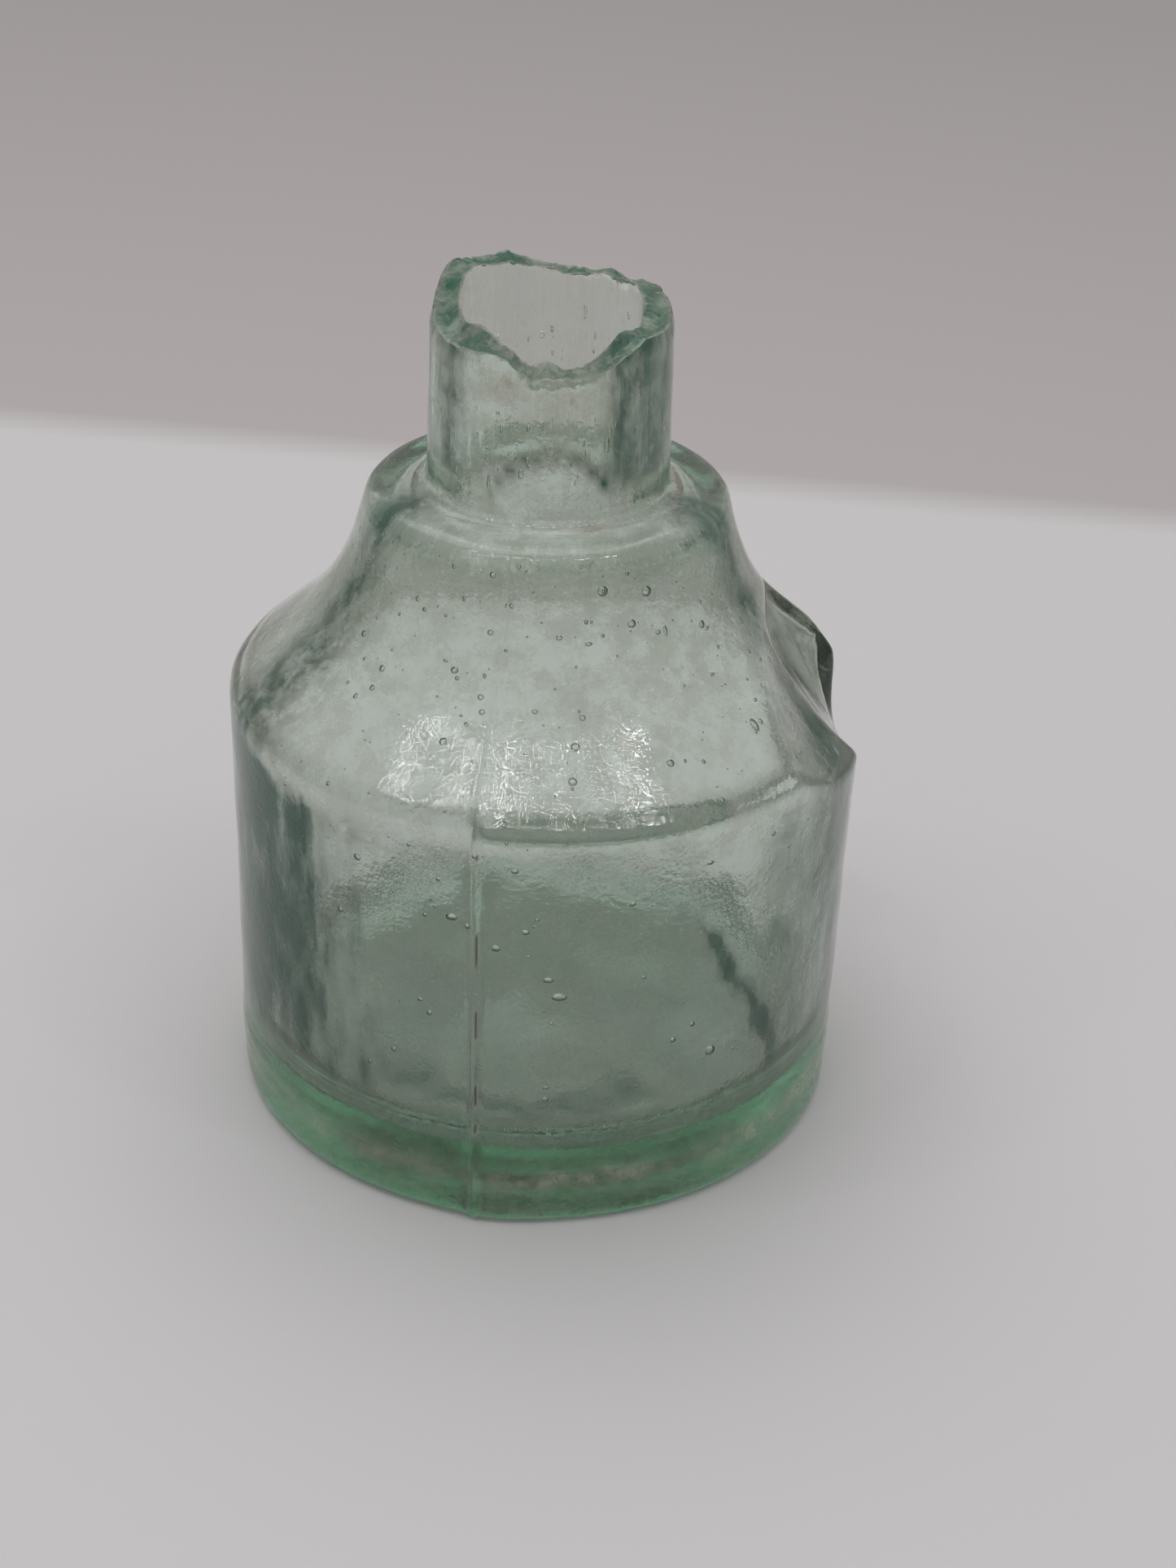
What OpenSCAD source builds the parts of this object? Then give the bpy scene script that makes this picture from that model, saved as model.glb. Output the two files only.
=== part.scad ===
// Mould-blown glass ink bottle. A round body carries a bell-shaped shoulder
// with a pen rest pressed into it, and a short neck whose lip is broken off.
// +Z is up, the origin is the middle of the base, and -Y is the front.

/* [Body] */
// Diameter of the body at its base
body_d = 50; // [46:1:60]
// How far the crisp half flares out by its shoulder
shoulder_flare = 0.6; // [0:0.1:1.5]
// Height of the shoulder's corner on the crisp half
shoulder_h = 35.6; // [32:0.2:40]
// Rounding of that corner
corner_r = 0.9; // [0.4:0.1:2]
// How much higher the corner is on the soft half
soft_rise = 0.6; // [0:0.1:2]
// Rounding of the corner on the soft half
soft_corner_r = 3.2; // [1:0.1:4]
// Rounding of the heel
heel_r = 1.2; // [0.6:0.1:3]
// Diameter of the hollow under the base
kick_d = 34; // [20:1:40]
// Depth of the hollow under the base
kick_h = 1.2; // [0.4:0.1:2]

/* [Shoulder] */
// Slope of the outer part of the shoulder, from level
shoulder_slope = 41; // [36:1:46]
// Slope of the steep flank, from level
flank_slope = 74; // [70:1:80]
// Share of the flank taken up by the curve between the two
flare_share = 0.61; // [0.3:0.01:0.8]
// Height of the ledge round the neck over the shoulder's corner
bell_h = 17.1; // [15:0.1:20]
// Diameter of the ledge
ledge_d = 27.6; // [25:0.2:29]
// Rounding of the ledge's edge
ledge_round = 1.5; // [0.5:0.1:2.5]

/* [Neck] */
// Diameter of the neck at its foot
neck_d = 18.8; // [17:0.1:20]
// Diameter of the neck at its lip
lip_d = 18.2; // [17:0.1:20]
// Height of the highest point left of the lip over the ledge
neck_h = 15.7; // [12:0.1:22]
// Rounding where the neck stands on the ledge
neck_foot_r = 1; // [0.4:0.1:2]

/* [Inside] */
// Thickness of the body's wall
wall = 2.3; // [1.6:0.1:3]
// Thickness of the floor at its rim
floor_t = 4.4; // [3:0.1:6]
// Rounding where the floor meets the wall
floor_r = 5; // [2:0.5:8]
// Rounding under the shoulder's corner
hollow_corner_r = 2.5; // [1:0.1:4]
// Rounding under the ledge
roof_r = 2.4; // [1:0.1:3]
// Slope of the roof up to the neck, from level
roof_slope = 12; // [5:1:25]
// Rounding where the roof opens into the neck
throat_r = 2.5; // [1:0.1:4]
// Diameter of the bore through the neck
bore_d = 13.6; // [11:0.1:14]

/* [Pen rest] */
// Direction of the pen rest, in degrees from +X
rest_az = 4.5; // [-10:0.5:20]
// Width of the pen rest
rest_w = 11; // [8:0.5:13]
// Slope of its floor, from level
rest_slope = 60; // [56:1:64]
// How far its floor ends below the shoulder's corner
rest_drop = 7.6; // [5:0.1:9]
// Length of its floor, up the slope
rest_l = 17; // [12:0.5:19]
// Rounding along the sides of its floor
rest_floor_r = 4; // [1:0.1:4]
// Direction of the sunk glass in front of it, in degrees from +X
sink_az = -8; // [-16:1:0]
// How far the sunk glass ends below the shoulder's corner
sink_drop = 3.5; // [2:0.1:5]
// Radius of the sunk glass's hollow curve
sink_r = 25.5; // [24:0.5:30]
// Slope of the sunk glass at its end, from level
sink_slope = 39; // [36:1:44]

/* [Mould marks] */
// Direction of the front seam, in degrees from +X
seam_az = -101; // [-130:1:-60]
// Width of a seam
seam_w = 0.7; // [0.3:0.1:1.5]
// How far a seam or line stands proud
mark_proud = 0.2; // [0.1:0.05:0.4]
// Height of the lower line round the base
base_line_h = 3.9; // [3.2:0.1:5]
// Distance up to the other line
base_line_gap = 1.7; // [1:0.1:3]

/* [Broken lip] */
// Radius of the flakes lost from the lip's outer edge
flake_r = 3.4; // [2:0.1:5]
// How far the flakes bite into the neck's wall
flake_bite = 1.1; // [0.5:0.1:1.6]

/* [Hidden] */
$fn = 96;

// Largest angle between two points of a rounding
arc_step = 8;
// Reach of a cutter past what it cuts
past = 20;
base_r = body_d / 2;
shoulder_r = base_r + shoulder_flare;
ledge_h = shoulder_h + bell_h;
lip_h = ledge_h + neck_h;
rest_r = rest_w / 2;
kick_r = kick_d / 2;
kick_ball_r = (kick_r * kick_r + kick_h * kick_h) / (2 * kick_h);

// What is left of the lip, seen from the front: the distance along X, and how
// far the edge is below the highest point. The rear wall comes first. The
// front wall has lost the most.
rear_edge = [
    [-9.5, 2.2], [-8.9, 1.3], [-8.2, 0.2], [-7, 0], [-5.6, 0.2], [-4.6, 0.5], [-3.4, 0.2],
    [-1.6, 1], [0.6, 1.5], [2.6, 1.6], [4.4, 1.3], [5, 1.7], [7.2, 1.3], [9.5, 1.9],
];
front_edge = [
    [-9.5, 2.2], [-7.6, 2.3], [-6, 1.9], [-4.6, 2.1], [-3, 3], [-1.8, 4], [-0.6, 3.5],
    [0.8, 4.1], [2.8, 3.9], [4.4, 3.2], [5.4, 2.3], [6.4, 1.8], [7.8, 2.2], [9.5, 1.9],
];
// Flakes off the outer edge: direction, and how far below the highest point
flakes = [[-152, 0.5], [-130, -0.1], [-108, 1.5]];

function unit(v) = v / norm(v);
function turned(v, angle) = [
    v[0] * cos(angle) - v[1] * sin(angle),
    v[0] * sin(angle) + v[1] * cos(angle),
];

// Points of an arc of radius r that rounds corner p between its neighbours.
function rounding(before, p, after, r) =
    let (
        u = unit(before - p),
        w = unit(after - p),
        half = acos(u * w) / 2,
        centre = p + unit(u + w) * r / sin(half),
        start = p + u * r / tan(half) - centre,
        side = u[0] * w[1] - u[1] * w[0] > 0 ? -1 : 1,
        sweep = side * (180 - 2 * half),
        steps = ceil(abs(sweep) / arc_step)
    )
    [for (i = [0:steps]) centre + turned(start, sweep * i / steps)];

// An outline from entries [x, y, r], each corner rounded by its own r.
function outline(entries) =
    let (n = len(entries), at = [for (e = entries) [e[0], e[1]]])
    [for (i = [0:n - 1])
        each entries[i][2] > 0
            ? rounding(at[(i + n - 1) % n], at[i], at[(i + 1) % n], entries[i][2])
            : [at[i]]
    ];

// Where the line down from p at slope s meets the line down from q at slope t,
// both running away from the axis.
function crossing(p, s, q, t) =
    let (x = (p[1] + tan(s) * p[0] - q[1] - tan(t) * q[0]) / (tan(s) - tan(t)))
    [x, p[1] - tan(s) * (x - p[0])];

// Radius of the curve at point p that takes its share of the flank up to q.
function flare_r(p, q) = flare_share * norm(q - p) / tan((flank_slope - shoulder_slope) / 2);

// Half section of the glass body, filled in, up to a given neck height. proud
// grows it sideways.
module body_section(corner, corner_round, top_h, proud) {
    ledge = [ledge_d / 2, ledge_h];
    flare = crossing(corner, shoulder_slope, ledge, flank_slope);
    neck_r = neck_d / 2;
    translate([proud, 0])
        polygon(outline([
            [0, 0, 0],
            [base_r, 0, heel_r],
            [corner[0], corner[1], corner_round],
            [flare[0], flare[1], flare_r(flare, ledge)],
            [ledge[0], ledge[1], ledge_round],
            [neck_r, ledge_h, top_h > ledge_h ? neck_foot_r : 0],
            [lip_d / 2, top_h, 0],
            [0, top_h, 0],
        ]));
}

// Half section of the hollow inside, one wall in from the soft half.
module hollow_section() {
    rim = base_r - wall;
    corner = [rim, shoulder_h - wall * tan(shoulder_slope / 2)];
    ledge = [ledge_d / 2 - wall / sin(flank_slope), ledge_h];
    flare = crossing(corner, shoulder_slope, ledge, flank_slope);
    roof = [ledge[0] + wall / tan(flank_slope), ledge_h - wall];
    bore_r = bore_d / 2;
    throat_h = roof[1] + (roof[0] - bore_r) * tan(roof_slope);
    polygon(outline([
        [0, floor_t, 0],
        [rim, floor_t, floor_r],
        [corner[0], corner[1], hollow_corner_r],
        [flare[0], flare[1], flare_r(flare, roof)],
        [roof[0], roof[1], roof_r],
        [bore_r, throat_h, throat_r],
        [bore_r, lip_h + past, 0],
        [0, lip_h + past, 0],
    ]));
}

// The space of the pen rest: a round-floored channel down the shoulder, open
// above. clear grows it all round.
module rest_channel(clear) {
    r = rest_r + clear;
    rotate([0, 0, rest_az])
        translate([shoulder_r, 0, shoulder_h - rest_drop])
            rotate([0, rest_slope, 0])
                translate([-rest_l - clear, 0, -clear])
                    rotate([90, 0, 90])
                        linear_extrude(height = rest_l + past)
                            polygon(outline([
                                [-r, 0, rest_floor_r], [r, 0, rest_floor_r], [r, past, 0], [-r, past, 0],
                            ]));
}

// The space over the glass that has sunk in front of the pen rest, as far as
// the rest's rear wall. clear grows it all round.
module sunk_part(clear) {
    difference() {
        rotate([0, 0, sink_az])
            translate([
                shoulder_r + sink_r * sin(sink_slope),
                0,
                shoulder_h - sink_drop + sink_r * cos(sink_slope),
            ])
                rotate([90, 0, 0])
                    cylinder(r = sink_r + clear, h = 3 * past, center = true, $fn = 180);
        rotate([0, 0, rest_az])
            translate([0, rest_r + clear, 0])
                cube([4 * past, 3 * past, 6 * past]);
    }
}

// The hollow for the ink, which stays one wall clear of the pen rest.
module ink_hollow() {
    difference() {
        rotate_extrude() hollow_section();
        rest_channel(wall);
        sunk_part(wall);
    }
}

// Everything above a broken edge, from the middle plane to the front.
module above_edge(edge) {
    last = len(edge) - 1;
    rotate([90, 0, 0])
        linear_extrude(height = past)
            polygon(concat(
                [[-past, lip_h - edge[0][1]]],
                [for (e = edge) [e[0], lip_h - e[1]]],
                [[past, lip_h - edge[last][1]], [past, lip_h + past], [-past, lip_h + past]]
            ));
}

// All that has broken off the neck.
module lost_lip() {
    above_edge(front_edge);
    mirror([0, 1, 0]) above_edge(rear_edge);
    for (f = flakes)
        rotate([0, 0, f[0]])
            translate([lip_d / 2 + flake_r - flake_bite, 0, lip_h - f[1]])
                sphere(r = flake_r);
}

// The outside as the two halves of the mould left it.
module blown_outside() {
    crisp_corner = [shoulder_r, shoulder_h];
    soft_corner = [base_r, shoulder_h + soft_rise];
    seam_sweep = 2 * asin(seam_w / body_d);
    rotate([0, 0, seam_az])
        rotate_extrude(angle = 180) body_section(crisp_corner, corner_r, lip_h, 0);
    rotate([0, 0, seam_az + 180])
        rotate_extrude(angle = 180) body_section(soft_corner, soft_corner_r, lip_h, 0);
    for (az = [seam_az, seam_az + 180])
        rotate([0, 0, az - seam_sweep / 2])
            rotate_extrude(angle = seam_sweep)
                body_section(crisp_corner, corner_r, ledge_h - ledge_round, mark_proud);
    for (h = [base_line_h, base_line_h + base_line_gap])
        translate([0, 0, h - mark_proud])
            cylinder(r = base_r + mark_proud, h = 2 * mark_proud);
}

module bottle() {
    color([0.62, 0.78, 0.7, 0.5])
        difference() {
            blown_outside();
            ink_hollow();
            rest_channel(0);
            sunk_part(0);
            lost_lip();
            translate([0, 0, kick_h - kick_ball_r]) sphere(r = kick_ball_r);
        }
}

bottle();
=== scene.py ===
import math
import random

import bmesh
import bpy
from mathutils import Matrix, Vector, noise


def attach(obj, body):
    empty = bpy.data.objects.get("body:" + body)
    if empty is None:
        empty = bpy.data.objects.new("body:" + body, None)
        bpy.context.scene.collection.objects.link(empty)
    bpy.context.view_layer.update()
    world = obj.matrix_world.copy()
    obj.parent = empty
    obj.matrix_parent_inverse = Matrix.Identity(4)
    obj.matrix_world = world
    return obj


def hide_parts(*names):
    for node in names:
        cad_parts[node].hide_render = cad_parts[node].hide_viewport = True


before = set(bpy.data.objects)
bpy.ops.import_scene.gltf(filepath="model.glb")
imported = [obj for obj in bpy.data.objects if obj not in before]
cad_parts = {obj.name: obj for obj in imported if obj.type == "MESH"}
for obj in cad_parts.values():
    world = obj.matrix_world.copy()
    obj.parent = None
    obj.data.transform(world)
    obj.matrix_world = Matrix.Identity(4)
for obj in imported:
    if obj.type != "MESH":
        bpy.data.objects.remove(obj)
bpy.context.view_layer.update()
scene = bpy.context.scene


# The glass bottle is one piece, blown in a mould of two halves that don't
# quite match. All its sizes are in millimetres until the mesh is finished.
# A half section is given for the crisp half, the soft half and the inside.
MM = 0.001
BASE_R = 25.0
SHOULDER_R, SHOULDER_H = 25.6, 35.6
BELL_CURVE = (16.4, 43.6, 19.5)
LEDGE_R, LEDGE_H = 13.8, 52.7
NECK_FOOT_R, NECK_TOP_R = 9.4, 9.1
BORE_R = 6.8
BREAK_FOOT_H, BREAK_TOP_H = 58.0, 68.4
FLOOR_T = 4.4
FINE_LINES_H = (3.9, 5.6)
FRONT_SEAM_AZ = -101.0
ARC_STEPS = 16

# Each corner is a radius, a height and how far it is rounded.
crisp_outline = [
    (0, 1.2, 0), (17, 0, 30), (BASE_R, 0, 1.1), (SHOULDER_R, SHOULDER_H, 0.6), BELL_CURVE,
    (LEDGE_R, LEDGE_H, 1.5), (NECK_FOOT_R, LEDGE_H, 1.0), (NECK_TOP_R, BREAK_TOP_H, 0),
]
soft_outline = [
    (0, 1.2, 0), (17, 0, 30), (BASE_R - 0.05, 0, 1.3), (BASE_R, SHOULDER_H + 0.4, 2.2), BELL_CURVE,
    (LEDGE_R, LEDGE_H, 1.7), (NECK_FOOT_R, LEDGE_H, 1.2), (NECK_TOP_R, BREAK_TOP_H, 0),
]
inside_outline = [
    (BORE_R, BREAK_TOP_H, 0), (BORE_R, 51.5, 2.5), (11.7, 50.0, 2.9),
    (14.6, 42.0, 19.0), (23.4, 35.2, 1.5), (22.7, FLOOR_T, 5.0), (0, FLOOR_T + 0.9, 0),
]


def turned(arm, angle):
    """A short arm in the plane of the section, turned by an angle."""
    return Matrix.Rotation(angle, 2) @ arm


def drawn(corners):
    """The outline through corners of (radius, height, rounding), as many short lines."""
    at = [Vector(corner[:2]) for corner in corners]
    line = [at[0]]
    for before, here, after, corner in zip(at, at[1:], at[2:], corners[1:]):
        back, on = (before - here).normalized(), (after - here).normalized()
        half = back.angle(on) / 2
        rounding = max(corner[2], 0.01)
        centre = here + (back + on).normalized() * rounding / math.sin(half)
        start = here + back * rounding / math.tan(half) - centre
        sweep = math.copysign(math.pi - 2 * half, back.y * on.x - back.x * on.y)
        line += [centre + turned(start, sweep * step / ARC_STEPS) for step in range(ARC_STEPS + 1)]
    return line + [at[-1]]


def paced(line, rows):
    """The same line cut into a number of rows of equal length."""
    lengths = [(b - a).length for a, b in zip(line, line[1:])]
    total, walked, piece = sum(lengths), 0.0, 0
    places = []
    for row in range(rows + 1):
        goal = total * row / rows
        while piece < len(lengths) - 1 and walked + lengths[piece] < goal:
            walked += lengths[piece]
            piece += 1
        share = (goal - walked) / max(lengths[piece], 1e-9)
        places.append(line[piece].lerp(line[piece + 1], min(max(share, 0), 1)))
    return places


def spread(places, here):
    """Reads a value off a list of (position, value), with straight runs between them."""
    for (a, low), (b, high) in zip(places, places[1:]):
        if here <= b:
            return low + (high - low) * max(0, here - a) / (b - a)
    return places[-1][1]


def eased(low, high, value):
    """Goes softly from 0 at low to 1 at high."""
    share = min(max((value - low) / (high - low), 0), 1)
    return share * share * (3 - 2 * share)


def bump(value, width):
    """A soft hump of height 1 at value 0."""
    return math.exp(-(value / width) ** 2)


# The neck's break is uneven. These are the heights of its outer and its inner
# edge, by direction in degrees from +X.
outer_break = [
    (-180, 66.2), (-172, 65.7), (-160, 65.6), (-149, 65.4), (-137, 65.2), (-127, 65.2),
    (-119, 65.6), (-112, 65.3), (-104, 64.5), (-98, 63.9), (-93, 64.2), (-83, 64.1), (-70, 64.3),
    (-59, 64.9), (-49, 65.7), (-40, 66.4), (-28, 66.2), (-17, 66.0), (-3, 66.4), (11, 66.8),
    (25, 67.0), (40, 66.9), (47, 66.5), (50, 66.7), (60, 67.1), (70, 66.7), (88, 66.9),
    (98, 67.2), (107, 67.7), (115, 68.2), (121, 67.9), (135, 68.1), (146, 68.4), (154, 68.3),
    (165, 67.4), (173, 66.6), (180, 66.2),
]
inner_break = [
    (-180, 66.9), (-170, 66.5), (-159, 66.1), (-149, 66.4), (-138, 66.7), (-129, 66.4),
    (-121, 65.8), (-114, 65.4), (-103, 64.4), (-93, 64.8), (-83, 64.3), (-70, 64.5), (-59, 65.0),
    (-49, 65.9), (-40, 66.5), (-28, 66.1), (-17, 65.9), (-2, 66.2), (11, 67.2), (25, 67.6),
    (42, 67.4), (63, 67.2), (83, 66.9), (95, 67.3), (107, 67.5), (120, 67.9), (132, 68.0),
    (148, 68.3), (164, 68.2), (180, 66.9),
]

# The pen rest is a sloping channel pressed through the shoulder's corner. In
# front of it the glass has sunk in. The inside keeps REST_WALL clear of both.
REST_AZ, REST_HALF, REST_SLOPE, REST_FOOT_H, REST_LENGTH = 4.5, 5.5, 60.0, 28.0, 17.0
SUNK_AZ, SUNK_R = -8.0, 25.5
SUNK_CENTRE = Vector((41.65, 51.9))
REST_WALL = 1.5
REST_LOBE_AZ = 20
PRESS_STEPS = 6
PRESS_CLIMB = 0.9


def soft_least(a, b, blend):
    """The lesser of two values, rounded off where they meet."""
    share = max(blend - abs(a - b), 0) / blend
    return min(a, b) - share * share * blend / 4


def pressed(place, clear):
    """How deep a place lies in the space of the pen rest, grown by clear all round."""
    az = math.radians(REST_AZ)
    along = place.x * math.cos(az) + place.y * math.sin(az)
    across = place.y * math.cos(az) - place.x * math.sin(az)
    slope = math.radians(REST_SLOPE)
    out, up = along - SHOULDER_R, place.z - REST_FOOT_H
    over = out * math.sin(slope) + up * math.cos(slope) + clear
    climbed = up * math.sin(slope) - out * math.cos(slope)
    channel = soft_least(over, REST_HALF + clear - abs(across), blend=2.5)
    channel = soft_least(channel, REST_LENGTH + clear - climbed, blend=3)
    az = math.radians(SUNK_AZ)
    beside = Vector((place.x * math.cos(az) + place.y * math.sin(az), place.z))
    bowl = SUNK_R + clear - (beside - SUNK_CENTRE).length
    sunk = soft_least(bowl, REST_HALF + clear - across, blend=1.5)
    return -soft_least(-channel, -sunk, blend=1.2)


PRESS = Vector((math.cos(math.radians(REST_AZ)), math.sin(math.radians(REST_AZ)), PRESS_CLIMB))
PRESS.normalize()


def with_rest(place, clear):
    """Pushes a place in until it is out of the pen rest's space. Far from it, none is moved."""
    if place.x < 12 or not 24 < place.z < 50 or abs(place.y) > 19:
        return place
    for _ in range(PRESS_STEPS):
        depth = -soft_least(-pressed(place, clear), 0, blend=0.5)
        if depth <= 0.001:
            return place
        place = place - PRESS * depth
    return place


def wave(place, size, stretch=1.0):
    """Slow unevenness between -1 and 1. Stretch draws it out along the height."""
    return noise.noise(Vector((place.x / size, place.y / size, place.z / size / stretch)))


def crispness(az):
    """1 on the crisp half of the mould, 0 on the soft half and almost so past the pen rest."""
    past_front = eased(-0.5, 0.5, az - FRONT_SEAM_AZ)
    past_rear = eased(179.5, 180.5, az - FRONT_SEAM_AZ)
    return past_front * (1 - past_rear) * (1 - 0.9 * eased(3, 12, az))


def round_the_axis(radius, az, height):
    """A place from its distance to the axis, its direction and its height."""
    turn = math.radians(az)
    return Vector((radius * math.cos(turn), radius * math.sin(turn), height))


def up_the_break(height):
    """0 where the neck's points begin to follow the break's edge, 1 at the edge."""
    return (height - BREAK_FOOT_H) / (BREAK_TOP_H - BREAK_FOOT_H)


def in_neck(height):
    """0 in the body, 1 in the neck."""
    return eased(50, 54, height)


def seam_relief(off):
    """How far the glass stands out beside a seam: a ridge, a furrow and a step between halves."""
    ridge = 0.17 * bump(off, 1.0)
    furrow = 0.08 * bump(off - 2.1, 0.8)
    step = 0.12 * eased(-0.4, 0.4, off) * bump(off, 7)
    return ridge - furrow + step


def outside(section, az):
    """Where the mould left a point of the outside."""
    radius, height = section
    from_seam = (az - FRONT_SEAM_AZ + 180) % 360 - 180
    from_rear_seam = (az - FRONT_SEAM_AZ) % 360 - 180
    out = seam_relief(from_seam) + seam_relief(from_rear_seam)
    out *= eased(LEDGE_H, LEDGE_H - 2, height) * min(1, radius / 20)
    on_wall = eased(20, 24, radius)
    foot_bulge = 0.3 * bump(from_seam - 4, 10) * bump(height, 4) * on_wall
    out += foot_bulge
    for line_h in FINE_LINES_H:
        out += 0.08 * bump(height - line_h, 0.25) * on_wall
    place = round_the_axis(radius + out, az, height)
    lobe = bump(az - REST_LOBE_AZ, 13) * eased(23, 25, radius)
    swollen = 0.35 * lobe * bump(height - 34, 5)
    sagged = 1.1 * lobe * bump(height - 36.5, 4)
    place += round_the_axis(swollen, az, -sagged)
    uneven = 0.10 * wave(place, 14) + 0.05 * wave(place, 4)
    place += round_the_axis(uneven, az, 0) * eased(0.5, 2.5, height)
    if height > BREAK_FOOT_H:
        top = spread(outer_break, az) + 0.14 * wave(place, 0.5) + 0.16 * wave(place, 1.2)
        share = up_the_break(height)
        place.z = BREAK_FOOT_H + (top - BREAK_FOOT_H) * share
        place -= round_the_axis(0.2 * eased(0.9, 1, share), az, 0)
    return with_rest(place, 0)


def inside(section, az):
    """Where the blown air left a point of the inside."""
    radius, height = section
    place = round_the_axis(radius, az, height)
    uneven = 0.22 * wave(place, 9) + 0.1 * wave(place, 3.2) + 0.03 * wave(place, 1.3)
    on_bore = round_the_axis(9, az, height)
    drawn_up = (0.05 + 0.06 * wave(place, 5)) * wave(on_bore, 0.8, 12)
    drawn_up += 0.06 * wave(on_bore, 2.3, 7)
    uneven = uneven * (1 - 0.75 * in_neck(height)) + drawn_up * in_neck(height)
    if radius > 3:
        thinner = 0.9 * bump(az - 22, 11) + 0.8 * bump(az + 26, 11)
        thinner = thinner * bump(height - 33, 8) * eased(18, 22, radius)
        place += round_the_axis(uneven + thinner, az, 0)
    if height < 12:
        place.z += 0.5 * wave(place, 8) * min(1, radius / 3) * (1 - eased(6, 12, height))
    if height > BREAK_FOOT_H:
        top = spread(inner_break, az) + 0.12 * wave(place, 0.5) + 0.14 * wave(place, 1.2)
        place.z = BREAK_FOOT_H + (top - BREAK_FOOT_H) * up_the_break(height)
    return with_rest(place, REST_WALL)


def across_break(outer_edge, inner_edge, share):
    """A point of the raw break between its two edges, rippled like chipped glass."""
    place = outer_edge.lerp(inner_edge, share)
    dish = math.sin(math.pi * share)
    ripple = 0.4 * abs(wave(place, 0.7)) + 0.24 * wave(place, 1.6) + 0.16 * dish
    place.z -= ripple * dish ** 0.5 - 0.12
    return place


# The columns stand closer together at the two seams and at the pen rest.
OUTSIDE_ROWS, BREAK_ROWS, INSIDE_ROWS = 190, 7, 84
column_runs = [
    (-104, -98, 20), (-98, -14, 58), (-14, 24, 50), (24, 76, 34), (76, 82, 20), (82, 256, 104),
]
columns = [
    start + (end - start) * step / steps
    for start, end, steps in column_runs
    for step in range(steps)
]
columns.append(column_runs[-1][1])
columns = [az if az <= 180 else az - 360 for az in columns]
crisp_rows = paced(drawn(crisp_outline), OUTSIDE_ROWS)
soft_rows = paced(drawn(soft_outline), OUTSIDE_ROWS)
inside_rows = paced(drawn(inside_outline), INSIDE_ROWS)


def column_of_glass(az):
    """One column's points, from the base's middle over the break to the middle of the floor."""
    crisp = crispness(az)
    out = [outside(soft.lerp(hard, crisp), az) for soft, hard in zip(soft_rows, crisp_rows)]
    into = [inside(section, az) for section in inside_rows]
    over = [across_break(out[-1], into[0], step / BREAK_ROWS) for step in range(1, BREAK_ROWS)]
    return out + over + into


def apart_from(az, middle):
    """How far one direction is from another, in degrees."""
    return abs((az - middle + 180) % 360 - 180)


# The brown patches under the break: direction, height and half their size each way.
brown_patches = [(-112, 63.2, 6, 1.1), (-84, 62.2, 8, 1.4)]


def rusty(az, radius, height):
    """Where brown dirt has settled: in the corner at the neck's foot and just under the break."""
    at_foot = bump(height - LEDGE_H - 0.3, 0.7) * bump(radius - 9.9, 0.4)
    at_foot = at_foot * eased(-95, -70, az) * (1 - eased(0, 25, az))
    under_break = 0.0
    for middle, up, wide, tall in brown_patches:
        under_break += bump(height - up, tall) * bump(az - middle, wide)
    return min(at_foot + under_break, 1.0)


# Each slit is the height of its middle and half its length.
seam_slits = [(33.8, 0.5), (25.6, 1.6), (19.0, 1.5), (12.4, 1.2), (9.2, 0.5)]


def cracked(az, height):
    """The short dark slits beside the front seam."""
    beside = bump(az - FRONT_SEAM_AZ - 0.9, 0.35)
    within = [eased(half, 0.8 * half, abs(height - middle)) for middle, half in seam_slits]
    return beside * max(within)


def pale_outside_film(radius, height):
    """How much pale film the outside carries: the worn underside most, a band above the base, and
    a trace above it.
    """
    under = 1.3 * eased(24.2, 23.6, radius) * eased(2, 1.6, height)
    return under + 0.8 * bump(height - 4.3, 1.1) + 0.08 * eased(3, 9, height)


def filmed(az, height):
    """How thick the pale bloom on the inside is: most in the shoulder, down to a ragged edge."""
    place = round_the_axis(20, az, height)
    ragged = height + 1.6 * wave(place, 5) + 0.8 * wave(place, 1.4)
    on_wall = 0.1 * eased(6, 12, height)
    in_shoulder = 0.65 * eased(30.4, 31.2, ragged) * (1 - in_neck(height))
    in_bore = in_neck(height) * (0.3 + 0.4 * eased(60, 110, abs(az - 90)))
    return 0.25 + on_wall + in_shoulder + in_bore


def wall_dirt_and_shade(place, az, height, edge):
    """Dark dirt and painted shade on the left wall, lighter painted shade on the right one, and
    dark dirt in a slanting streak.
    """
    left = eased(34, 12, apart_from(az, -152) + edge)
    left *= 0.75 + 0.4 * wave(place, 1.3, 4) + 0.25 * wave(place, 5)
    left *= 1 - 0.6 * bump(az + 146, 9) * bump(height - 8, 4)
    right = eased(-52, -38, az) * eased(25, 0, az)
    on_wall = eased(5, 9, height) * eased(35, 31, height)
    slant = height - 24 + 0.7 * (az + 57) + 1.6 * wave(place, 1.3)
    streak = bump(slant, 1.7) * eased(-62, -57, az) * eased(-36, -42, az)
    return on_wall * (1.15 * left + 0.4 * right) + 0.7 * streak


def floor_ring_shade(az, radius, height):
    """Painted shade in a ring on the front part of the floor."""
    place = round_the_axis(radius, az, height)
    from_ring = radius - 15.5 + 2.5 * wave(place, 5) + wave(place, 1.2)
    ring = bump(from_ring, 2.2) * eased(9, 8, height)
    return 0.55 * (ring * (eased(-152, -138, az) * eased(-42, -60, az)))


def shoulder_side_shade(az, height):
    """Painted shade up the shoulder's two sides."""
    sides = bump(apart_from(az, -163), 13) + bump(apart_from(az, -12), 13)
    return 0.5 * (eased(31, 33, height) * eased(52, 50, height) * sides)


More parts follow.
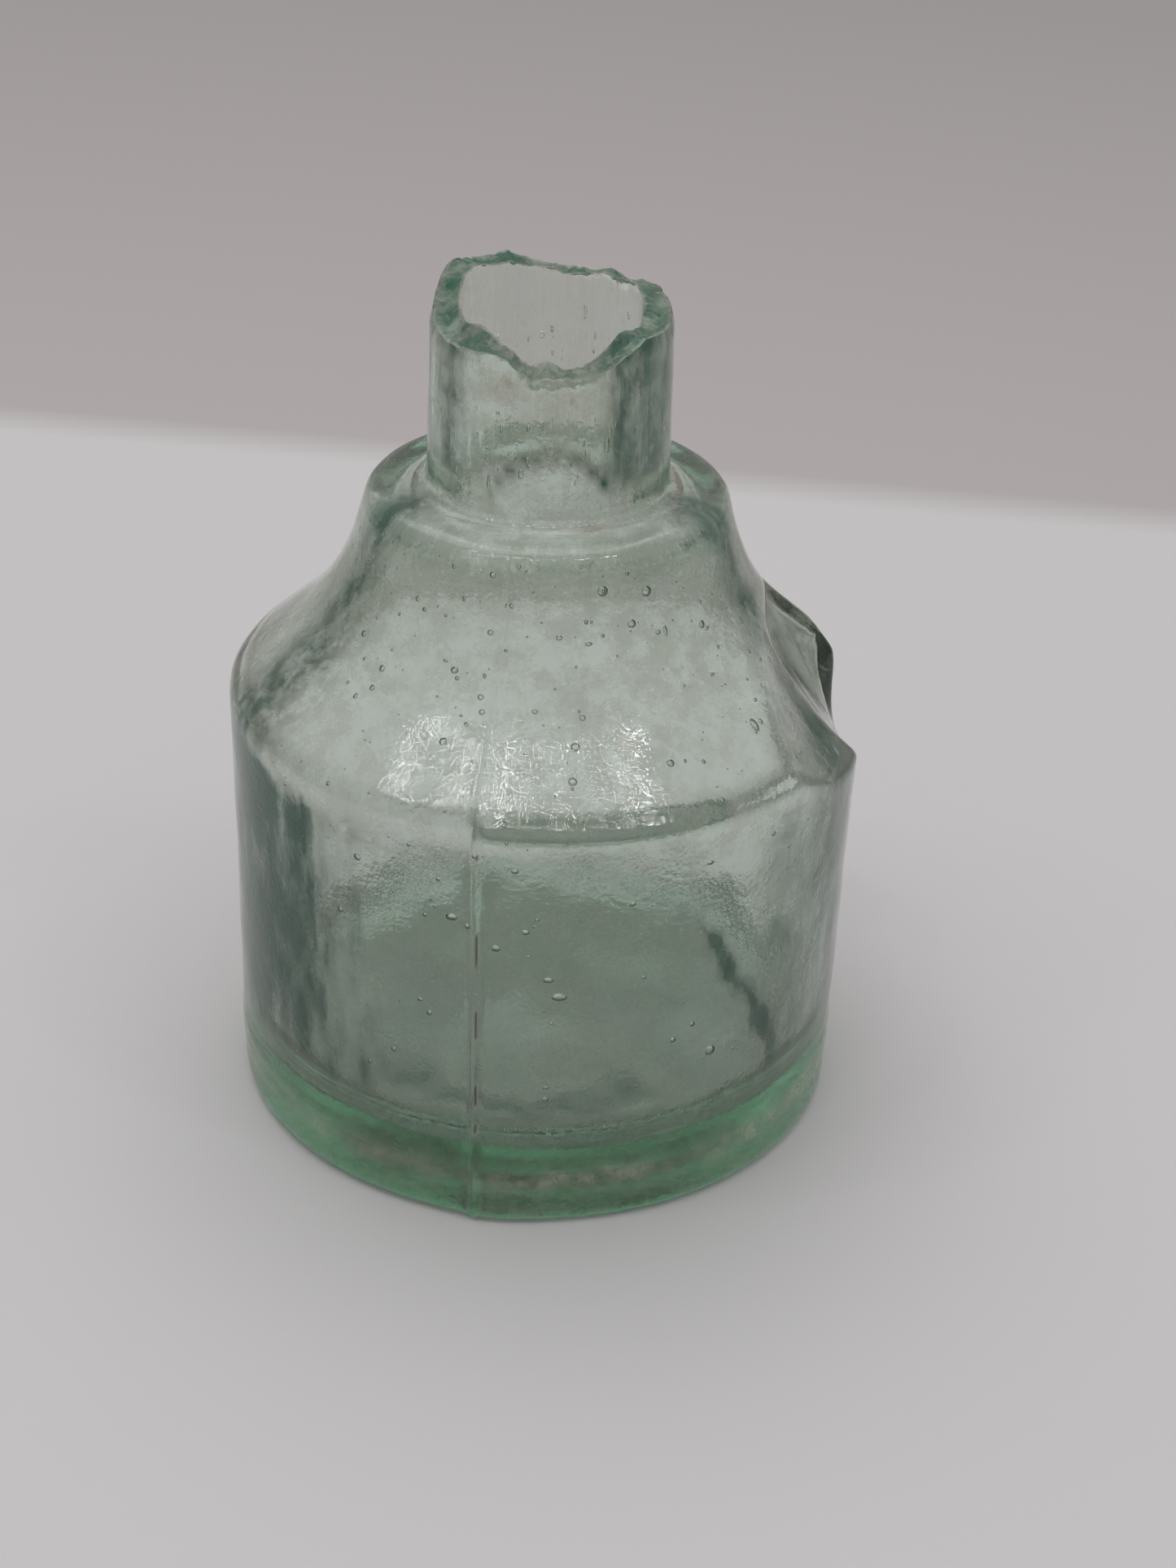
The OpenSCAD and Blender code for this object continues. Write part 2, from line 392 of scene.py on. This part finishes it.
def neck_side_shade(place, az, height, edge):
    """Painted shade on the neck's two sides, and an arch of it on the neck's front."""
    sides = bump(apart_from(az, -158), 14) + eased(-70, -40, az + edge) * eased(20, -5, az)
    from_arch = height - 58 + 2.5 * ((az + 88) / 30) ** 2 + 0.5 * wave(place, 1.2)
    arch = bump(from_arch, 0.6) * eased(42, 30, abs(az + 88))
    return 0.5 * (eased(53, 56, height) * sides) + 0.5 * arch


def shade_and_dirt_amount(az, radius, height):
    """How much painted shade and dark dirt the inside carries, between 0 and 1."""
    place = round_the_axis(20, az, height)
    edge = 7 * wave(place, 4, 3) + 6 * wave(place, 1, 4)
    body = wall_dirt_and_shade(place, az, height, edge) + floor_ring_shade(az, radius, height)
    neck = neck_side_shade(place, az, height, edge)
    # Painted shade under the ledge's inner corner.
    under_ledge = bump(height - 49.6, 1.3) * (0.18 + 0.1 * wave(place, 4))
    return min(body + shoulder_side_shade(az, height) + neck + under_ledge, 1.0)


def beside_rest(place):
    """1 where the inside lies against the pen rest, 0 away from it."""
    if place.x <= 8:
        return 0
    return eased(REST_WALL + 1.2, REST_WALL + 0.2, -pressed(place, 0))


blown = bmesh.new()
film_layer = blown.verts.layers.float.new("film")
rust_layer = blown.verts.layers.float.new("rust")
crack_layer = blown.verts.layers.float.new("crack")
# How much painted shade, with some dark dirt, each point of the inside carries.
shade_and_dirt_layer = blown.verts.layers.float.new("shade_and_dirt")
rows = OUTSIDE_ROWS + BREAK_ROWS + INSIDE_ROWS + 1
grid = bmesh.ops.create_grid(
    blown, x_segments=len(columns) - 1, y_segments=rows - 1, size=0.5
)["verts"]
glass_columns = [column_of_glass(az) for az in columns]
for point in grid:
    column = round((point.co.x + 0.5) * (len(columns) - 1))
    row = round((point.co.y + 0.5) * (rows - 1))
    point.co = glass_columns[column][row]
    az, height = columns[column], point.co.z
    radius = math.hypot(point.co.x, point.co.y)
    if row <= OUTSIDE_ROWS:
        point[film_layer] = pale_outside_film(radius, height)
        point[rust_layer] = rusty(az, radius, height)
        point[crack_layer] = cracked(az, height)
    elif row >= OUTSIDE_ROWS + BREAK_ROWS:
        point[film_layer] = filmed(az, height)
        # The inside carries painted shade and dark dirt, and painted shade where it lies against
        # the pen rest.
        point[shade_and_dirt_layer] = max(shade_and_dirt_amount(az, radius, height), 0.3 * beside_rest(point.co))
    else:
        # The raw break carries painted shade.
        point[shade_and_dirt_layer] = 0.5 + 0.14 * wave(point.co, 2.5)
bmesh.ops.remove_doubles(blown, verts=blown.verts, dist=0.002)
bmesh.ops.recalc_face_normals(blown, faces=blown.faces)
for face in blown.faces:
    face.smooth = True

# Only the break's edges are sharp.
SHARP_ABOVE_H, SHARP_ANGLE = 62, math.radians(32)
for edge in blown.edges:
    if edge.is_manifold and min(v.co.z for v in edge.verts) > SHARP_ABOVE_H:
        edge.smooth = edge.calc_face_angle() < SHARP_ANGLE

# Seed bubbles are small voids that the glass kept. Most are nearly round and a
# little flattened along the wall, and in the neck they are drawn out upwards.
LARGE_BUBBLE = 0.2
SMALL_BUBBLES = 760
wall_rows = [row for row in range(2, OUTSIDE_ROWS - 1) if soft_rows[row].x >= 8.5]
luck = random.Random(7)
seeds = bmesh.new()


def add_bubble(az, height, size, depth, drawn_out):
    """A void in the wall: its radius, how deep its middle lies, and how far it is drawn out."""
    row = min(wall_rows, key=lambda n: abs(soft_rows[n].y - height))
    ahead = (soft_rows[row + 2] - soft_rows[row - 2]).normalized()
    middle = outside(soft_rows[row].lerp(crisp_rows[row], crispness(az)), az)
    side = round_the_axis(1, az + 90, 0)
    up = round_the_axis(ahead.x, az, ahead.y)
    outward = side.cross(up)
    large = size > LARGE_BUBBLE
    flat, wide = 0.45 if large else 0.8, 1 / drawn_out ** 0.5
    made = bmesh.ops.create_icosphere(seeds, subdivisions=2 if large else 1, radius=size)["verts"]
    for point in made:
        local = point.co.copy()
        out = local.z * wide * flat - depth
        point.co = middle + side * local.x * wide + up * local.y * drawn_out + outward * out


# The larger ones are where the photo shows them: direction, height, size and
# how far each is drawn out upwards.
seen_bubbles = [
    (-106, 51, 0.24, 1), (-73, 50, 0.41, 1), (-59, 49.5, 0.41, 1), (-65, 47.5, 0.34, 1),
    (-55, 46.5, 0.24, 1.8), (-42, 46, 0.31, 1), (-126, 47.5, 0.2, 1), (-114, 49, 0.17, 1.5),
    (-105, 47, 0.24, 1), (-86, 47, 0.24, 0.9), (-78, 46.5, 0.24, 0.7), (-113, 44, 0.31, 0.9),
    (-105, 43, 0.24, 1), (-104, 42, 0.24, 1), (-107, 41, 0.2, 1), (-83, 40.5, 0.34, 1),
    (-111, 40, 0.31, 1), (-84, 38.5, 0.34, 1), (-64, 39, 0.31, 1), (-41, 39.5, 0.41, 1.4),
    (-29, 43, 0.2, 1), (-65, 51, 0.2, 1), (-133, 43, 0.27, 1), (-144, 44, 0.27, 1),
    (-123, 31, 0.31, 1), (-127, 25.5, 0.27, 1), (-105, 28, 0.41, 0.75), (-102, 27.5, 0.27, 1),
    (-97, 25.5, 0.34, 0.8), (-92, 27.5, 0.27, 0.8), (-74, 29.5, 0.24, 0.8), (-88, 23, 0.34, 0.7),
    (-86, 21.5, 0.51, 0.65), (-65, 16, 0.24, 1), (-57, 14, 0.48, 1), (-88, 12, 0.27, 1),
    (-109, 19, 0.24, 1), (-94, 32.5, 0.27, 0.8), (-113, 61, 0.2, 2.4), (-100, 62, 0.2, 2),
    (-100, 58, 0.2, 2.6), (-103, 57, 0.27, 1.5), (-119, 55.5, 0.24, 3), (71, 64.5, 0.24, 2.6),
    (90, 62.5, 0.2, 2.2), (65, 61, 0.2, 2), (31, 64, 0.2, 2.2), (39, 65, 0.2, 2),
]
for az, height, size, drawn_out in seen_bubbles:
    add_bubble(az, height, size, 0.6 * size + 0.3, drawn_out)

# The small ones lie anywhere, and most of them in the shoulder.
for _ in range(SMALL_BUBBLES):
    size = 0.08 + 0.17 * luck.random() ** 3
    lot = luck.random()
    if lot < 0.14:
        height, drawn_out = luck.uniform(54, 63), luck.uniform(1.4, 3)
    elif lot < 0.68:
        height, drawn_out = luck.uniform(36, 52), luck.uniform(0.8, 1.3)
    else:
        height, drawn_out = luck.uniform(7, 35), luck.uniform(0.7, 1.2)
    add_bubble(luck.uniform(-180, 180), height, size, luck.uniform(size + 0.12, 1.3), drawn_out)

bmesh.ops.reverse_faces(seeds, faces=seeds.faces)
for face in seeds.faces:
    face.smooth = True
voids = bpy.data.meshes.new("seed_bubbles")
seeds.to_mesh(voids)
seeds.free()
blown.from_mesh(voids)
bpy.data.meshes.remove(voids)

bmesh.ops.scale(blown, vec=(MM, MM, MM), verts=blown.verts)
mesh = bpy.data.meshes.new("bottle")
blown.to_mesh(mesh)
blown.free()
bottle = bpy.data.objects.new("ink_bottle", mesh)
scene.collection.objects.link(bottle)


class Field:
    """A value that changes over a surface, held by a socket of its material."""

    def __init__(self, tree, socket=None):
        self.tree, self.socket = tree, socket

    def node(self, kind, settings, sockets, output=0):
        """A new node, from its type, its settings and the values or links of its sockets."""
        made = self.tree.nodes.new("ShaderNode" + kind)
        for name, value in settings.items():
            setattr(made, name, value)
        for name, value in sockets.items():
            if isinstance(value, Field):
                self.tree.links.new(value.socket, made.inputs[name])
            else:
                made.inputs[name].default_value = value
        return Field(self.tree, made.outputs[output])

    def __add__(self, other):
        return self.node("Math", {"operation": "ADD"}, {0: self, 1: other})

    def __mul__(self, other):
        return self.node("Math", {"operation": "MULTIPLY"}, {0: self, 1: other})

    __radd__, __rmul__ = __add__, __mul__


def ramp(value, low, high, bottom=0.0, top=1.0):
    """Goes from bottom, where the value is low, to top, where it is high."""
    span = {"Value": value, "From Min": low, "From Max": high, "To Min": bottom, "To Max": top}
    return value.node("MapRange", {"clamp": True}, span)


def blended(share, first, second):
    """Goes from one colour to another. Sockets 6 and 7 of a Mix node are its colours."""
    return share.node("Mix", {"data_type": "RGBA"}, {"Factor": share, 6: first, 7: second}, 2)


def speckles(at, scale, detail, roughness):
    """Noise at a place, with about as many spots to the metre as scale says."""
    sockets = {"Vector": at, "Scale": scale, "Detail": detail, "Roughness": roughness}
    return at.node("TexNoise", {}, sockets)


def stretched(at, along):
    """A place scaled by its own amount along each axis."""
    return at.node("VectorMath", {"operation": "MULTIPLY"}, {0: at, 1: along})


def painted(start, name):
    """What the mesh holds under a name at each of its points."""
    return start.node("Attribute", {"attribute_name": name}, {}, "Fac")


GLASS_IOR = 1.52
CLEAR = (0.97, 0.985, 0.97, 1.0)
BLOOM = (0.98, 0.85, 0.75, 1.0)
BROWN_DIRT = (0.22, 0.13, 0.06, 1.0)
# The dark green of the painted shade and of the dark dirt inside.
SHADE_AND_DIRT_GREEN = (0.006, 0.105, 0.058, 1.0)
SLIT = (0.008, 0.03, 0.018, 1.0)
AQUA = (0.35, 0.77, 0.55, 1.0)

aqua = bpy.data.materials.new("aqua_glass")
aqua.use_nodes = True
aqua.node_tree.nodes.clear()
start = Field(aqua.node_tree)
at = start.node("TexCoord", {}, {}, "Object")
peel = speckles(at, 2600.0, 2.0, 0.5)
dimple = speckles(at, 700.0, 3.0, 0.55)
mottle = speckles(at, 480.0, 7.0, 0.68)
patch = speckles(at, 75.0, 4.0, 0.6)
streak = speckles(stretched(at, (2400.0, 2400.0, 110.0)), 1.0, 3.0, 0.6)
speckle = speckles(stretched(at, (620.0, 620.0, 150.0)), 1.0, 6.0, 0.7)
neck = ramp(start.node("SeparateXYZ", {}, {"Vector": at}, "Z"), 0.0545, 0.058)
film = painted(start, "film")
rust = painted(start, "rust")
crack = painted(start, "crack")
# Painted shade, and the dark dirt that shares its layer, broken up by speckles.
shade_and_dirt = painted(start, "shade_and_dirt") * ramp(speckle, 0.40, 0.56, 0.7, 1.0)

relief = 0.35 * peel + 0.5 * dimple + 0.8 * (neck * streak)
raised = start.node("Bump", {}, {"Strength": 1.0, "Distance": 0.00006, "Height": relief})
cloud = ramp(mottle, 0.42, 0.58) * ramp(patch, 0.38, 0.62, 0.45, 1.0)
cloud = cloud + 0.5 * (neck * ramp(streak, 0.5, 0.7))
clear = start.node("BsdfPrincipled", {}, {
    "Base Color": CLEAR, "Roughness": 0.015 + 0.04 * film, "IOR": GLASS_IOR,
    "Transmission Weight": 1.0, "Normal": raised,
})
rusted = rust * ramp(mottle, 0.48, 0.6)
dirt_and_shade = blended(rusted, BLOOM, BROWN_DIRT)
# Painted shade and dark dirt darken the bloom's colour.
dirt_and_shade = blended(ramp(shade_and_dirt, 0.0, 0.5), dirt_and_shade, SHADE_AND_DIRT_GREEN)
dirt_and_shade = blended(crack, dirt_and_shade, SLIT)
# The bloom's shader also carries the painted shade.
bloom_and_shade = start.node("BsdfPrincipled", {}, {
    "Base Color": dirt_and_shade, "Roughness": 0.9, "IOR": GLASS_IOR,
    "Transmission Weight": 0.5, "Normal": raised,
})
# The bloom, the dirt, the slits and the painted shade decide how much of the clear glass is
# covered.
covered = film * ramp(cloud, 0.0, 1.0, 0.08, 0.5) + 0.7 * rusted + 0.9 * crack + 1.25 * shade_and_dirt
glass = start.node("MixShader", {}, {0: ramp(covered, 0.0, 1.0), 1: clear, 2: bloom_and_shade})
tint = start.node("VolumeAbsorption", {}, {"Color": AQUA, "Density": 57.0})
output = aqua.node_tree.nodes.new("ShaderNodeOutputMaterial")
aqua.node_tree.links.new(glass.socket, output.inputs["Surface"])
aqua.node_tree.links.new(tint.socket, output.inputs["Volume"])
mesh.materials.append(aqua)
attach(bottle, "root")
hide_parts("bottle")


# The surface under the bottle is plain and pale. Further back it turns into
# the darker, warmer tone that stands behind the bottle in the photo. A thin
# gap of air under the base keeps the glass's inner reflections.
FLOOR_HALF, AIR_GAP = 3.0, 0.0001
PALE = (0.55, 0.535, 0.535, 1.0)
NEAR_WALL, SHADED_FAR_WALL = (0.415, 0.385, 0.38, 1.0), (0.335, 0.312, 0.307, 1.0)
SHADED_DISTANCE = (0.20, 0.195, 0.19, 1.0)
floor_mesh = bpy.data.meshes.new("floor")
flat = bmesh.new()
bmesh.ops.create_grid(flat, x_segments=1, y_segments=1, size=FLOOR_HALF)
bmesh.ops.translate(flat, vec=(0, 0, -AIR_GAP), verts=flat.verts)
flat.to_mesh(floor_mesh)
flat.free()
floor = bpy.data.objects.new("floor", floor_mesh)
scene.collection.objects.link(floor)

pale = bpy.data.materials.new("pale_floor")
pale.use_nodes = True
pale.node_tree.nodes.clear()
start = Field(pale.node_tree)
at = start.node("TexCoord", {}, {}, "Object")
rearward = start.node("SeparateXYZ", {}, {"Vector": at}, "Y")
rearward = rearward + 0.16 * start.node("SeparateXYZ", {}, {"Vector": at}, "X")
from_bottle = start.node("VectorMath", {"operation": "LENGTH"}, {0: at}, "Value")
# Further back, painted shade darkens the wall tone.
wall_tone = blended(ramp(rearward, 0.13, 0.4), NEAR_WALL, SHADED_FAR_WALL)
tone = blended(ramp(rearward, 0.123, 0.132), PALE, wall_tone)
# Far from the bottle, painted shade darkens the floor.
tone = blended(ramp(from_bottle, 0.45, 1.4), tone, SHADED_DISTANCE)
matt = start.node("BsdfPrincipled", {}, {
    "Base Color": tone, "Roughness": 0.7, "Specular IOR Level": 0.2,
})
output = pale.node_tree.nodes.new("ShaderNodeOutputMaterial")
pale.node_tree.links.new(matt.socket, output.inputs["Surface"])
floor_mesh.materials.append(pale)


# The light is a plain soft studio light: a big soft box overhead and a pale
# room round about. Two rings of small lamps give the glints that the photo
# shows on the shoulder.
LOW_ROOM, HIGH_ROOM = (0.12, 0.12, 0.12, 1.0), (0.68, 0.68, 0.69, 1.0)
REAR_ROOM = (0.46, 0.44, 0.435, 1.0)
LIT_POINT = Vector((0, 0, 0.03))
RING_LAMP = 0.018
world = bpy.data.worlds.new("room")
scene.world = world
world.use_nodes = True
world.node_tree.nodes.clear()
start = Field(world.node_tree)
sky = start.node("TexCoord", {}, {}, "Generated")
upward = start.node("SeparateXYZ", {}, {"Vector": sky}, "Z")
rearward = ramp(start.node("SeparateXYZ", {}, {"Vector": sky}, "Y"), 0.2, 0.6)
room = blended(ramp(upward, 0.0, 0.7), LOW_ROOM, HIGH_ROOM)
room = blended(rearward * ramp(upward, 0.3, 0.75, 1.0, 0.0), room, REAR_ROOM)
dome = start.node("Background", {}, {"Color": room, "Strength": 1.0})
output = world.node_tree.nodes.new("ShaderNodeOutputWorld")
world.node_tree.links.new(dome.socket, output.inputs["Surface"])


def hang_lamp(name, place, size, power):
    """A square lamp that looks at the bottle."""
    lamp = bpy.data.lights.new(name, "AREA")
    lamp.shape, lamp.size, lamp.energy = "SQUARE", size, power
    hung = bpy.data.objects.new(name, lamp)
    scene.collection.objects.link(hung)
    hung.location = place
    hung.rotation_euler = (LIT_POINT - Vector(place)).to_track_quat("-Z", "Y").to_euler()


hang_lamp("soft_box", (-0.15, 0.52, 1.2), size=1.2, power=5.0)
for ring, count, middle, wide, deep, power in (
    ("left", 12, (-0.33, -0.18, 0.65), 0.12, 0.08, 0.035),
    ("right", 18, (0.12, -0.27, 0.69), 0.28, 0.055, 0.045),
):
    for part in range(count):
        turn = math.tau * part / count
        place = (middle[0] + wide * math.cos(turn), middle[1] + deep * math.sin(turn), middle[2])
        hang_lamp(f"{ring}_ring_lamp_{part}", place, RING_LAMP, power)


# The camera stands where the photo was taken from. Its turns were found from
# the outline of the bottle, with a focal length in pixels of the photo.
PHOTO_H, PHOTO_FOCAL_PX = 1927, 3200
CAMERA_PLACE = (0, -0.1858, 0.1323)
camera = bpy.data.cameras.new("camera")
camera.sensor_width = 36.0
camera.lens = camera.sensor_width * PHOTO_FOCAL_PX / PHOTO_H
camera.clip_start = 0.01
stand = bpy.data.objects.new("camera", camera)
scene.collection.objects.link(stand)
aim = Matrix.Identity(4)
for degrees, axis in ((-1.19, "Z"), (-29.84, "X"), (-1.95, "Y"), (90, "X")):
    aim = aim @ Matrix.Rotation(math.radians(degrees), 4, axis)
stand.matrix_world = Matrix.Translation(CAMERA_PLACE) @ aim
scene.camera = stand

scene.view_settings.view_transform = "Standard"
